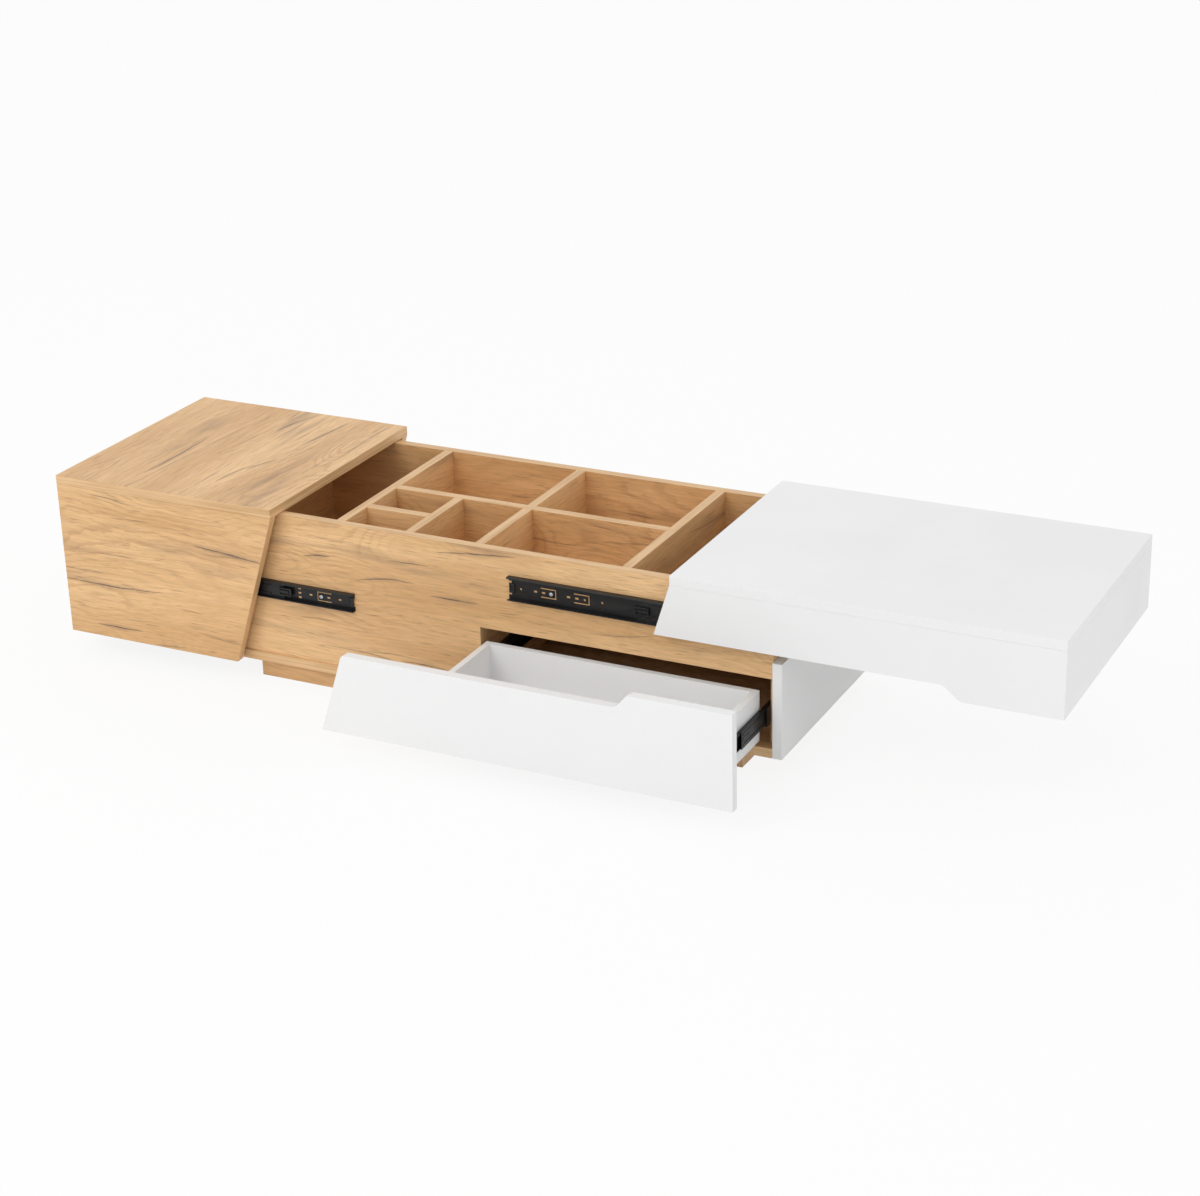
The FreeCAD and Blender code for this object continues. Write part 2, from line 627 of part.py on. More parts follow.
for drawer, sign in (("front", "-"), ("rear", "+")):
    pulled = f"sizes.{drawer}_open"
    box_out = f"({cover_inner} + {pulled})"
    box_in = f"({box_out} - {box_depth})"
    box_y = span(sign, box_in, box_out)

    face = pad_body(f"{drawer}_drawer_front", "XZ_Plane", drawer_front_corners, "sizes.board")
    round_corners(face, front_bends, "sizes.front_step_radius")
    round_corners(face, (dip_corner,), "sizes.front_corner")
    face_y = span(sign, box_out, f"{box_out} + sizes.board")
    keep(f"{drawer}_drawer_front", slid(face, y=face_y[1]))

    sides = (
        ("left", (box_left, f"({box_left} + sizes.box_wall)")),
        ("right", (f"({box_right} - sizes.box_wall)", box_right)),
    )
    groove_x = (
        f"({box_left} + sizes.box_wall - sizes.groove_depth)",
        f"({box_right} - sizes.box_wall + sizes.groove_depth)",
    )
    for side, side_x in sides:
        name = f"{drawer}_drawer_{side}_side"
        blank = box(name + "_blank", side_x, box_y, (box_base, box_top))
        groove = box(name + "_groove", groove_x, box_y, (panel_base, panel_top))
        notched_board(name, blank, groove)
    between_x = (sides[0][1][1], sides[1][1][0])
    board(f"{drawer}_drawer_bottom", groove_x, box_y, (panel_base, panel_top))
    back_y = span(sign, box_in, f"({box_in} + sizes.box_wall)")
    board(f"{drawer}_drawer_back", between_x, back_y, (panel_top, box_top))

    # Two slides per drawer, on the bay partition and on the right end board
    length = box_depth
    half = "(sizes.drawer_slide_height / 2)"
    height = f"({room_base} + sizes.drawer_slide_rise)"
    cabinet_out = "(sizes.core_depth / 2 - sizes.drawer_slide_inset)"
    middle_out = f"(({cabinet_out} + {box_out}) / 2)"
    rails = {"cabinet": [], "middle": [], "inner": []}
    drawer_screws = []
    for side, wall, facing in (("left", "sizes.bay_left", "1"), ("right", room_right, "-1")):
        for kind, profile, out in (
            ("cabinet", cabinet_profile(half), cabinet_out),
            ("middle", middle_profile(half), middle_out),
            ("inner", inner_profile(half), box_out),
        ):
            start = span(sign, f"{out} - {length}", out)[0]
            name = f"{drawer}_drawer_{side}_{kind}_rail"
            rails[kind].append(rail(name, profile, "y", wall, facing, height, length, start))
        outwards, inwards = ("+x", "-x") if side == "left" else ("-x", "+x")
        screw_ends = ("sizes.drawer_screw_end", f"({length} - sizes.drawer_screw_end)")
        for number, place in enumerate(screw_ends, start=1):
            cabinet_y = span(sign, "0", f"{cabinet_out} - {place}")
            inner_y = span(sign, "0", f"{box_out} - {place}")
            outer_index = 0 if sign == "-" else 1
            cabinet_seat = {"x": f"{wall} + {facing} * sizes.steel", "y": cabinet_y[outer_index], "z": height}
            name = f"{drawer}_drawer_{side}_screw_{number}"
            carcass_screws.append(screw(name, cabinet_seat, outwards))
            inner_x = f"{wall} + {facing} * (sizes.slide_gap - sizes.steel)"
            inner_seat = {"x": inner_x, "y": inner_y[outer_index], "z": height}
            name = f"{drawer}_drawer_{side}_inner_screw_{number}"
            drawer_screws.append(screw(name, inner_seat, inwards))
    for kind, pair in rails.items():
        group(f"{drawer}_drawer_{kind}_rails", pair)
    group(f"{drawer}_drawer_screws", drawer_screws)
group("carcass_screws", carcass_screws)

# Build, test every object, and write one file for each piece
document.recompute()
for item in document.Objects:
    if "Invalid" in item.State or "Error" in item.State:
        raise RuntimeError(f"{item.Label} did not build: {item.State}")
for node in nodes:
    if node.Shape.isNull() or not node.Shape.isValid():
        raise RuntimeError(f"{node.Label} has no valid shape")
os.makedirs("parts", exist_ok=True)
for node in nodes:
    node.Shape.exportStep(f"parts/{node.Label}.step")
print(len(nodes), "nodes")
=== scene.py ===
import bpy
import math
from mathutils import Matrix, Vector


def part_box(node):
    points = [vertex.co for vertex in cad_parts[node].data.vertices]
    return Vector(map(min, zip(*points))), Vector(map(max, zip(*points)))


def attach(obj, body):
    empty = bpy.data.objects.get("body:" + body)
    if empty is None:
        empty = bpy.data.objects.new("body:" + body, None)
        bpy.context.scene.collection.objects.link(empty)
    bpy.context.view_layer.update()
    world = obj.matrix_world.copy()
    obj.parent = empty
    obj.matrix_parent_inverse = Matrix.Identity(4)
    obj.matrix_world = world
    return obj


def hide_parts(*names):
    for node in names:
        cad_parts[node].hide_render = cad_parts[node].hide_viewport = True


# The table as it is packed, in metres, with both tops slid open and the front drawer out.
# The origin is on the floor under the middle of the core, +X to the white end, -Y to the front, +Z up.
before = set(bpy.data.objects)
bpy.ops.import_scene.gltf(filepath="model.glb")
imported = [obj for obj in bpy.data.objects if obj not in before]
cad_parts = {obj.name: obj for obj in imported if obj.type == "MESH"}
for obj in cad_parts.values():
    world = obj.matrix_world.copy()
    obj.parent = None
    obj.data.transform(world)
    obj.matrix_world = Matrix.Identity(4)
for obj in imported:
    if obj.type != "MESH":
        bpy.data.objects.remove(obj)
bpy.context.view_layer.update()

# Plinth: five rails of oak laminate board on edge, set back under the core so that it seems to float.
# The board is chipboard under a printed oak sheet, sawn to size, with a thin strip glued over its edges.
# Its corners are eased by hand, so that no edge is knife sharp.
MILLIMETRE = 0.001
EDGE_EASE = 0.7 * MILLIMETRE
EASE_STEPS = 2
EASE_ANGLE = math.radians(25)
WELD_REACH = 0.01 * MILLIMETRE
X_AXIS, Y_AXIS, Z_AXIS = range(3)


def paint(red, green, blue):
    """A colour as it is read on a screen, in the linear light that a shader takes."""
    levels = []
    for level in (red / 255, green / 255, blue / 255):
        levels.append(level / 12.92 if level <= 0.04045 else ((level + 0.055) / 1.055) ** 2.4)
    return (*levels, 1.0)


def shader_node(tree, kind, sockets, **settings):
    """Adds a node and sets it up, each input with a value or with another node's output."""
    node = tree.nodes.new("ShaderNode" + kind)
    for setting, choice in settings.items():
        setattr(node, setting, choice)
    for socket, source in sockets.items():
        if isinstance(source, bpy.types.NodeSocket):
            tree.links.new(source, node.inputs[socket])
        else:
            node.inputs[socket].default_value = source
    return node


def maths(tree, operation, *terms):
    return shader_node(tree, "Math", dict(enumerate(terms)), operation=operation).outputs[0]


def ramp(tree, amount, low, high, at_low=0.0, at_high=1.0):
    """Eases a value from one level to another while the amount runs between two bounds."""
    sockets = {"Value": amount, "From Min": low, "From Max": high, "To Min": at_low, "To Max": at_high}
    return shader_node(tree, "MapRange", sockets, interpolation_type="SMOOTHSTEP").outputs[0]


def laid_over(tree, share, under, over, blend_type="MIX"):
    """One colour laid over another by a share between 0 and 1."""
    sockets = {0: share, 6: under, 7: over}
    return shader_node(tree, "Mix", sockets, data_type="RGBA", blend_type=blend_type).outputs[2]


def stretched(tree, place, stretch, shift=(0, 0, 0)):
    sockets = {0: place, 1: stretch, 2: shift}
    return shader_node(tree, "VectorMath", sockets, operation="MULTIPLY_ADD").outputs[0]


def cloud(tree, place, cells, shift=(0, 0, 0), detail=2.0, roughness=0.5):
    """Cloudy noise, in cells per metre on each axis, shifted so that no two layers are alike."""
    sockets = {
        "Vector": stretched(tree, place, cells, shift),
        "Scale": 1.0,
        "Detail": detail,
        "Roughness": roughness,
    }
    return shader_node(tree, "TexNoise", sockets).outputs[0]


def new_finish(name):
    """A new material, and the nodes it is made of."""
    material = bpy.data.materials.new(name)
    material.use_nodes = True
    return material, material.node_tree


def lay_finish(tree, colour, roughness):
    """Joins a finish's colour and roughness to its surface."""
    surface = tree.nodes["Principled BSDF"]
    tree.links.new(colour, surface.inputs["Base Color"])
    tree.links.new(roughness, surface.inputs["Roughness"])
    return surface


def emboss(tree, height, strength, depth):
    """Gives a finish's surface a fine relief."""
    bump = shader_node(tree, "Bump", {"Strength": strength, "Distance": depth, "Height": height})
    tree.links.new(bump.outputs["Normal"], tree.nodes["Principled BSDF"].inputs["Normal"])


# The printed oak sheet: honey brown with soft streaks, wavy growth lines that bend round a few knots, grey
# smudges, fine fibres and pores, and dark cracks. A new slice shows every few millimetres through the board.
HONEY = paint(233, 191, 139)
TAN = paint(213, 168, 115)
GROWTH_LINE = paint(176, 132, 88)
SMUDGE = paint(158, 124, 94)
PORE = paint(146, 108, 74)
CRACK = paint(84, 72, 64)
STRIP_LIGHT = paint(228, 190, 142)
STRIP_DARK = paint(199, 157, 108)

# Each layer has its cells per metre along the grain, across it and through the board, and its fade: the two
# levels of noise it runs between, and its strength at each where that isn't none and full
SLICE = 43.0
SWAY_CELLS = (1.8, 3.0, SLICE)
SWAY_REACH = 60 * MILLIMETRE
STREAK_CELLS = (1.3, 11.0, SLICE)
STREAK_FADE = (0.32, 0.68)
KNOT_CELLS = (3.2, 7.0, SLICE)
KNOT_SWELL = (0.0, 0.5, 0.11, 0.0)
GROWTH_CELLS = (0.9, 3.6, SLICE)
GROWTH_RINGS = 46.0
RIPPLE_CELLS = (14.0, 40.0, SLICE)
RIPPLE_SHARE = 0.036
LATE_WOOD_START = (0.45, 0.86)
LATE_WOOD_END = (0.86, 0.98, 1.0, 0.0)
PATCH_CELLS = (1.7, 5.0, SLICE)
PATCH_FADE = (0.44, 0.68, 0.04, 0.42)
SMUDGE_CELLS = (2.4, 15.0, SLICE)
SMUDGE_FADE = (0.56, 0.76, 0.0, 0.6)
PORE_CELLS = (26.0, 520.0, SLICE)
PORE_FADE = (0.6, 0.78, 0.0, 0.55)
FIBRE_CELLS = (18.0, 380.0, SLICE)
FIBRE_TONE = (0.25, 0.75, 0.87, 1.09)
FIBRE_ROUGHNESS = (0.3, 0.7, 0.52, 0.40)
STRIPE_CELLS = (3.0, 3.0, 620.0)
STRIPE_FADE = (0.36, 0.68)
STRIP_CLOUD_CELLS = (9.0, 9.0, 60.0)
STRIP_CLOUD_SHARE = 0.35

# Cracks and checks: their tracks per metre across the board, and how they drift, open and break off
CRACK_TRACKS = 6.5
CRACK_WIDTH = 1.1 * MILLIMETRE
CRACK_DRIFT = (1.7, 1.2, SLICE)
CRACK_CELLS = (3.2, 9.0, SLICE)
CRACK_OPENING = (0.56, 0.72)
CHECK_TRACKS = 24.0
CHECK_WIDTH = 0.8 * MILLIMETRE
CHECK_DRIFT = (4.5, 4.5, SLICE)
CHECK_CELLS = (9.0, 30.0, SLICE)
CHECK_OPENING = (0.57, 0.74)
JITTER_CELLS = (30.0, 30.0, SLICE)
JITTER_REACH = 3.5 * MILLIMETRE
TRACK_SHIFT = 57.0
GAP_CELLS = (46.0, 90.0, SLICE)
GAP_FADE = (0.38, 0.58)
SPLIT_DEPTH = 0.6

oak_grain = bpy.data.node_groups.new("oak_grain", "ShaderNodeTree")
oak_grain.interface.new_socket("Grain", in_out="INPUT", socket_type="NodeSocketVector")
oak_grain.interface.new_socket("Broad Face", in_out="INPUT", socket_type="NodeSocketFloat")
oak_grain.interface.new_socket("Color", in_out="OUTPUT", socket_type="NodeSocketColor")
oak_grain.interface.new_socket("Roughness", in_out="OUTPUT", socket_type="NodeSocketFloat")
oak_grain.interface.new_socket("Height", in_out="OUTPUT", socket_type="NodeSocketFloat")
grain_in = oak_grain.nodes.new("NodeGroupInput")
grain_out = oak_grain.nodes.new("NodeGroupOutput")

straight = grain_in.outputs["Grain"]
sway = cloud(oak_grain, straight, SWAY_CELLS)
sway = maths(oak_grain, "MULTIPLY_ADD", sway, SWAY_REACH, -SWAY_REACH / 2)
sway = shader_node(oak_grain, "CombineXYZ", {1: sway}).outputs[0]
bent = shader_node(oak_grain, "VectorMath", {0: straight, 1: sway}, operation="ADD").outputs[0]

streaks = cloud(oak_grain, bent, STREAK_CELLS, detail=4.0, roughness=0.55)
oak_colour = laid_over(oak_grain, ramp(oak_grain, streaks, *STREAK_FADE), HONEY, TAN)

# Growth lines, pushed aside by knots
knot_cells = {"Vector": stretched(oak_grain, bent, KNOT_CELLS), "Scale": 1.0}
knot_distance = shader_node(oak_grain, "TexVoronoi", knot_cells).outputs["Distance"]
knot_swell = ramp(oak_grain, knot_distance, *KNOT_SWELL)
growth = cloud(oak_grain, bent, GROWTH_CELLS, shift=(7, 3, 0), detail=1.0)
ripple = cloud(oak_grain, bent, RIPPLE_CELLS, shift=(4, 4, 4), detail=3.0, roughness=0.65)
growth = maths(oak_grain, "MULTIPLY_ADD", ripple, RIPPLE_SHARE, growth)
growth = maths(oak_grain, "ADD", growth, knot_swell)
growth = maths(oak_grain, "FRACT", maths(oak_grain, "MULTIPLY", growth, GROWTH_RINGS))
late_wood = ramp(oak_grain, growth, *LATE_WOOD_START)
growth = maths(oak_grain, "MULTIPLY", late_wood, ramp(oak_grain, growth, *LATE_WOOD_END))
growth_patch = cloud(oak_grain, straight, PATCH_CELLS, shift=(2, 11, 5))
growth = maths(oak_grain, "MULTIPLY", growth, ramp(oak_grain, growth_patch, *PATCH_FADE))
oak_colour = laid_over(oak_grain, growth, oak_colour, GROWTH_LINE)

smudges = cloud(oak_grain, bent, SMUDGE_CELLS, shift=(1, 5, 9), detail=3.0, roughness=0.6)
oak_colour = laid_over(oak_grain, ramp(oak_grain, smudges, *SMUDGE_FADE), oak_colour, SMUDGE)
pores = cloud(oak_grain, bent, PORE_CELLS, shift=(3, 8, 1), detail=1.0)
oak_colour = laid_over(oak_grain, ramp(oak_grain, pores, *PORE_FADE), oak_colour, PORE)

# Long cracks and short checks follow tracks along the board, and open and close along them
place_on_board = shader_node(oak_grain, "SeparateXYZ", {0: straight})
jitter = cloud(oak_grain, straight, JITTER_CELLS, shift=(6, 2, 8))


def split_lines(tracks, drift, cells, opening, width, shift):
    """Distance from the nearest track, and how far the split on it has opened there."""
    wander = cloud(oak_grain, straight, drift, shift=(shift, 1, 4), detail=1.0)
    track = maths(oak_grain, "MULTIPLY_ADD", place_on_board.outputs[1], tracks, wander)
    track = maths(oak_grain, "MULTIPLY_ADD", jitter, JITTER_REACH * tracks, track)
    track = maths(oak_grain, "MULTIPLY_ADD", place_on_board.outputs[2], TRACK_SHIFT, track)
    distance = maths(oak_grain, "SUBTRACT", maths(oak_grain, "FRACT", track), 0.5)
    distance = maths(oak_grain, "ABSOLUTE", distance)
    opened = cloud(oak_grain, straight, cells, shift=(5, shift, 2), detail=1.0)
    return distance, ramp(oak_grain, opened, *opening, 0.0, width * tracks)


def split_shade(distance, reach, spread, darkness):
    """How dark a split or the stain beside it is, fading out at a spread times the split's reach."""
    return ramp(oak_grain, distance, 0.0, maths(oak_grain, "MULTIPLY", reach, spread), darkness, 0.0)


def broken_run(tree, place, faintest):
    """Lets a split come and go along its run, as the print does."""
    gaps = cloud(tree, place, GAP_CELLS, shift=(9, 2, 6), roughness=0.6)
    return ramp(tree, gaps, *GAP_FADE, faintest, 1.0)


cracks = split_lines(CRACK_TRACKS, CRACK_DRIFT, CRACK_CELLS, CRACK_OPENING, CRACK_WIDTH, shift=13)
checks = split_lines(CHECK_TRACKS, CHECK_DRIFT, CHECK_CELLS, CHECK_OPENING, CHECK_WIDTH, shift=29)
crack_stain = split_shade(*cracks, spread=6.0, darkness=0.4)
check_stain = split_shade(*checks, spread=5.0, darkness=0.45)
stain = maths(oak_grain, "MAXIMUM", crack_stain, check_stain)
oak_colour = laid_over(oak_grain, stain, oak_colour, SMUDGE)
crack_lines = split_shade(*cracks, spread=1.0, darkness=0.95)
check_lines = split_shade(*checks, spread=1.0, darkness=0.85)
splits = maths(oak_grain, "MAXIMUM", crack_lines, check_lines)
splits = maths(oak_grain, "MULTIPLY", splits, broken_run(oak_grain, straight, faintest=0.3))
oak_colour = laid_over(oak_grain, splits, oak_colour, CRACK)

fibres = cloud(oak_grain, bent, FIBRE_CELLS, detail=3.0, roughness=0.6)
fibre_tone = ramp(oak_grain, fibres, *FIBRE_TONE)
fibre_tone = shader_node(oak_grain, "CombineColor", {0: fibre_tone, 1: fibre_tone, 2: fibre_tone}).outputs[0]
oak_colour = laid_over(oak_grain, 1.0, oak_colour, fibre_tone, "MULTIPLY")

# The edge strip has fine straight stripes along the edge, whichever way that runs
stripes = cloud(oak_grain, straight, STRIPE_CELLS)
strip_clouds = cloud(oak_grain, straight, STRIP_CLOUD_CELLS)
strip_clouds = maths(oak_grain, "MULTIPLY", strip_clouds, STRIP_CLOUD_SHARE)
stripes = maths(oak_grain, "MULTIPLY_ADD", stripes, 1.0 - STRIP_CLOUD_SHARE, strip_clouds)
strip_colour = laid_over(oak_grain, ramp(oak_grain, stripes, *STRIPE_FADE), STRIP_LIGHT, STRIP_DARK)
face_or_strip = laid_over(oak_grain, grain_in.outputs["Broad Face"], strip_colour, oak_colour)

oak_grain.links.new(face_or_strip, grain_out.inputs["Color"])
oak_grain.links.new(ramp(oak_grain, fibres, *FIBRE_ROUGHNESS), grain_out.inputs["Roughness"])
grain_height = maths(oak_grain, "SUBTRACT", fibres, maths(oak_grain, "MULTIPLY", splits, SPLIT_DEPTH))
oak_grain.links.new(grain_height, grain_out.inputs["Height"])

# Cracks that one board alone has, and the relief of the sheet
SPLIT_WIDTH = 2.6 * MILLIMETRE
SPLIT_DARKNESS = 0.95
SPLIT_STAIN_SPREAD = 5.0
SPLIT_STAIN_DARKNESS = 0.45
SPLIT_WANDER = 7.0 * MILLIMETRE
WANDER_CELLS = (22.0, 10.0, SLICE)
BROAD_FACING = 0.8
OAK_RELIEF = 0.12
OAK_RELIEF_DEPTH = 0.4 * MILLIMETRE


def split_marks(tree, place, along, across, broad, colour, splits):
    """Draws a board's own cracks over its colour, each a bowed line that tapers to both ends."""
    wander = cloud(tree, place, WANDER_CELLS, detail=4.0, roughness=0.6)
    wander = maths(tree, "MULTIPLY_ADD", wander, SPLIT_WANDER, -SPLIT_WANDER / 2)
    across = maths(tree, "ADD", across, wander)
    shown = maths(tree, "MULTIPLY", broad, broken_run(tree, place, faintest=0.6))
    for (from_along, from_across), (to_along, to_across), bow, strength in splits:
        ends = {"Value": along, "From Min": from_along * MILLIMETRE, "From Max": to_along * MILLIMETRE}
        run = shader_node(tree, "MapRange", ends).outputs[0]
        # An arch that rises from 0 at both ends to 1 in the middle
        arch = maths(tree, "MULTIPLY", maths(tree, "SUBTRACT", 1.0, run), maths(tree, "MULTIPLY", run, 4.0))
        rise = (to_across - from_across) * MILLIMETRE
        line = maths(tree, "MULTIPLY_ADD", run, rise, from_across * MILLIMETRE)
        line = maths(tree, "MULTIPLY_ADD", arch, bow * MILLIMETRE, line)
        distance = maths(tree, "ABSOLUTE", maths(tree, "SUBTRACT", across, line))
        reach = maths(tree, "MULTIPLY", arch, SPLIT_WIDTH * strength)
        stain_reach = maths(tree, "MULTIPLY", reach, SPLIT_STAIN_SPREAD)
        stain = ramp(tree, distance, 0.0, stain_reach, SPLIT_STAIN_DARKNESS * strength, 0.0)
        mark = ramp(tree, distance, 0.0, reach, SPLIT_DARKNESS, 0.0)
        colour = laid_over(tree, maths(tree, "MULTIPLY", stain, broad), colour, SMUDGE)
        colour = laid_over(tree, maths(tree, "MULTIPLY", mark, shown), colour, CRACK)
    return colour


def oak_laminate(name, grain_axis, thickness_axis, splits=()):
    """Oak laminate for boards whose grain runs along one axis and whose thickness lies on another."""
    material, tree = new_finish(name)
    across_axis = X_AXIS + Y_AXIS + Z_AXIS - grain_axis - thickness_axis
    coordinates = shader_node(tree, "TexCoord", {})
    place = shader_node(tree, "SeparateXYZ", {0: coordinates.outputs["Object"]})
    order = (grain_axis, across_axis, thickness_axis)
    turned = {number: place.outputs[axis] for number, axis in enumerate(order)}
    turned = shader_node(tree, "CombineXYZ", turned).outputs[0]
    facing = shader_node(tree, "SeparateXYZ", {0: coordinates.outputs["Normal"]}).outputs[thickness_axis]
    broad = maths(tree, "GREATER_THAN", maths(tree, "ABSOLUTE", facing), BROAD_FACING)
    grain = shader_node(tree, "Group", {"Grain": turned, "Broad Face": broad}, node_tree=oak_grain)
    colour = grain.outputs["Color"]
    if splits:
        along, across = place.outputs[grain_axis], place.outputs[across_axis]
        colour = split_marks(tree, turned, along, across, broad, colour, splits)
    lay_finish(tree, colour, grain.outputs["Roughness"])
    emboss(tree, grain.outputs["Height"], OAK_RELIEF, OAK_RELIEF_DEPTH)
    return material


def coat(piece, material):
    """Gives a piece one finish all over."""
    piece.data.materials.clear()
    piece.data.materials.append(material)


def dress(node_name, material, ease=EDGE_EASE):
    """Gives a CAD piece its finish, and eases its edges where it has an easing."""
    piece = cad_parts[node_name]
    coat(piece, material)
    if not ease:
        return
    weld = piece.modifiers.new("joined_faces", "WELD")
    weld.merge_threshold = WELD_REACH
    bevel = piece.modifiers.new("eased_edges", "BEVEL")
    bevel.width = ease
    bevel.segments = EASE_STEPS
    bevel.limit_method = "ANGLE"
    bevel.angle_limit = EASE_ANGLE


oak_lengthwise = oak_laminate("oak_lengthwise", X_AXIS, Y_AXIS)
oak_crosswise = oak_laminate("oak_crosswise", Y_AXIS, X_AXIS)
for rail in ("plinth_front_rail", "plinth_back_rail"):
    dress(rail, oak_lengthwise)
for rail in ("plinth_left_rail", "plinth_right_rail", "plinth_middle_rail"):
    dress(rail, oak_crosswise)

# Core: a bottom board, front and back panels cut away at the drawer bay, and two end boards.
# All are oak laminate with the grain running level, dowelled together at the corners.
# The front panel's printed cracks run from one place to another along and across the grain, in millimetres,
# with a bow and a strength.
FRONT_SPLITS = (
    ((-80, 322), (85, 338), 1, 0.8),
    ((-255, 239), (-125, 253), 6, 0.7),
    ((-100, 235), (5, 236), -1, 0.9),
    ((-365, 270), (-305, 278), 2, 0.9),
    ((-185, 289), (-95, 292), 1, 0.6),
    ((-170, 93), (-70, 93), 1, 0.7),
)
oak_flat = oak_laminate("oak_flat", X_AXIS, Z_AXIS)
oak_front = oak_laminate("oak_front", X_AXIS, Y_AXIS, FRONT_SPLITS)
dress("bottom_board", oak_flat)
dress("front_panel", oak_front)
dress("back_panel", oak_lengthwise)
for panel in ("left_end_board", "right_end_board"):
    dress(panel, oak_crosswise)

# White end panel: a board in satin white laminate that closes the drawer end of the core.
# Its face has the faint orange peel of a pressed sheet.
WHITE = paint(239, 239, 239)
WHITE_SHADED = paint(237, 237, 237)
WHITE_DRIFT_CELLS = (5.0, 5.0, 5.0)
WHITE_DRIFT = (0.3, 0.7)
WHITE_ROUGHNESS = (0.38, 0.46)
PEEL_CELLS = (420.0, 420.0, 420.0)
PEEL_RELIEF = 0.05
PEEL_DEPTH = 0.3 * MILLIMETRE

white_laminate, white_tree = new_finish("white_laminate")
white_place = shader_node(white_tree, "TexCoord", {}).outputs["Object"]
white_drift = cloud(white_tree, white_place, WHITE_DRIFT_CELLS)
white_peel = cloud(white_tree, white_place, PEEL_CELLS)
white_colour = laid_over(white_tree, ramp(white_tree, white_drift, *WHITE_DRIFT), WHITE, WHITE_SHADED)
lay_finish(white_tree, white_colour, ramp(white_tree, white_drift, *WHITE_DRIFT, *WHITE_ROUGHNESS))
emboss(white_tree, white_peel, PEEL_RELIEF, PEEL_DEPTH)
dress("white_end_panel", white_laminate)

# Compartments: a floor over the drawer bay, a partition beside it, and six dividers flush with the core's
# upper edge. They are oak laminate boards, the middle and lengthwise dividers half-lapped where they cross.
dress("compartment_floor", oak_flat)
for divider in ("long_divider", "small_bay_cross_divider"):
    dress(divider, oak_lengthwise)
for divider in (
    "deep_bay_divider", "middle_divider", "right_divider", "small_bay_divider", "drawer_bay_partition",
):
    dress(divider, oak_crosswise)

# Slides: ball bearing runners in three nested sections, rolled from steel sheet.
# They are coated satin black, and the outer section has rolled edges and is punched with tabs, slots and
# screw holes.
STEEL_EASE = 0.35 * MILLIMETRE
BLACK_COAT = paint(26, 26, 27)
BLACK_WORN = paint(37, 37, 37)
WEAR_CELLS = (14.0, 14.0, 60.0)
WEAR_FADE = (0.4, 0.75)
SPECK_CELLS = (900.0, 900.0, 900.0)
SPECK_ROUGHNESS = (0.3, 0.7, 0.26, 0.38)
SPECK_RELIEF = 0.08
SPECK_DEPTH = 0.2 * MILLIMETRE
STEEL_SHEEN = 0.3

black_steel, steel_tree = new_finish("black_steel")
steel_place = shader_node(steel_tree, "TexCoord", {}).outputs["Object"]
steel_specks = cloud(steel_tree, steel_place, SPECK_CELLS)
steel_wear = cloud(steel_tree, steel_place, WEAR_CELLS, detail=3.0)
steel_colour = laid_over(steel_tree, ramp(steel_tree, steel_wear, *WEAR_FADE), BLACK_COAT, BLACK_WORN)
steel_surface = lay_finish(steel_tree, steel_colour, ramp(steel_tree, steel_specks, *SPECK_ROUGHNESS))
steel_surface.inputs["Specular IOR Level"].default_value = STEEL_SHEEN
emboss(steel_tree, steel_specks, SPECK_RELIEF, SPECK_DEPTH)

SECTION_EASES = {"cabinet_rail": None, "middle_rail": STEEL_EASE, "inner_rail": STEEL_EASE}
for section, section_ease in SECTION_EASES.items():
    for top in ("left", "right"):
        for side in ("front", "back"):
            dress(f"{top}_{side}_{section}", black_steel, section_ease)
    for drawer in ("front", "rear"):
        dress(f"{drawer}_drawer_{section}s", black_steel, section_ease)

# Slide stops: moulded black plastic blocks clipped on the inner ends of the tops' middle rails.
# Each is a shallow tray with a sprung tongue, which catches the inner rail when the top is shut.
STEEL_SHEET = 1.2 * MILLIMETRE
STOP_LENGTH = 27 * MILLIMETRE
STOP_HEIGHT = 15 * MILLIMETRE
STOP_THICKNESS = 4.2 * MILLIMETRE
TRAY_WALL = 2.2 * MILLIMETRE
TRAY_DEPTH = 2.6 * MILLIMETRE
TONGUE_HEIGHT = 5 * MILLIMETRE
TONGUE_SETBACK = 0.4 * MILLIMETRE
TONGUE_ROOM = 0.6 * MILLIMETRE
TONGUE_ROOT = 0.4 * STOP_LENGTH
TONGUE_TAPER = 0.2 * MILLIMETRE
TONGUE_TIP = 4 * MILLIMETRE
TONGUE_BEND = 0.3 * MILLIMETRE
STOP_EASE = 0.5 * MILLIMETRE
STOP_INSETS = {"left": -17 * MILLIMETRE, "right": 0.0}
FACING = 0.9
HALF_TURN_ABOUT_Y = Matrix.Rotation(math.pi, 4, "Y")
HALF_TURN_ABOUT_Z = Matrix.Rotation(math.pi, 4, "Z")


def block(name, low, high):
    """A cube drawn out between two corners, ready to be shaped."""
    bpy.ops.object.select_all(action="DESELECT")
    low, high = Vector(low), Vector(high)
    bpy.ops.mesh.primitive_cube_add(size=1, location=(low + high) / 2, scale=high - low)
    piece = bpy.context.object
    piece.name = name
    piece.data.name = name
    bpy.ops.object.transform_apply(location=True, rotation=True, scale=True)
    return piece


def pick_faces(piece, wanted):
    """Goes into edit mode with just the wanted faces selected."""
    mesh = piece.data
    for parts in (mesh.vertices, mesh.edges, mesh.polygons):
        parts.foreach_set("select", [False] * len(parts))
    for face in mesh.polygons:
        face.select = wanted(face)
    bpy.context.view_layer.objects.active = piece
    bpy.ops.object.mode_set(mode="EDIT")
    bpy.ops.mesh.select_mode(type="FACE")


